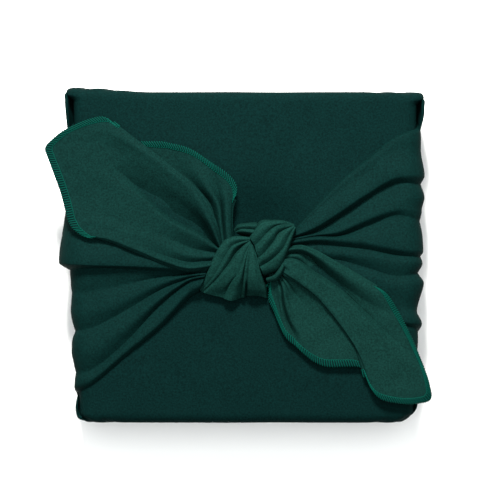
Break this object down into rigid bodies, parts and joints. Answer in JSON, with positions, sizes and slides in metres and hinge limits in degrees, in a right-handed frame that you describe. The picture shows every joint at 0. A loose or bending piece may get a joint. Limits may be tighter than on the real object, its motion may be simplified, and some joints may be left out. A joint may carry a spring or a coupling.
{
  "type": "furoshiki wrap",
  "caption": "Square dark green crepe cloth folded round a flat gift and closed on its face with a reef knot, its side folds fanning from the knot and its hemmed tails lying free.",
  "frame": {"origin": "centre of the flat underside, midway between the parcel's sides at the height of the knot", "axes": "+Z out of the face through the knot, +Y up the face towards the flap's fold, +X to the right as the face is seen; the wrap lies on its back"},
  "size_m": [0.2314, 0.1997, 0.0745],
  "materials": {
    "green_crepe": "dark green polyester crepe, matt, with an overlocked hem in a brighter green thread"
  },
  "bodies": {
    "root": {"furoshiki_cloth": "green_crepe"}
  },
  "joints": []
}
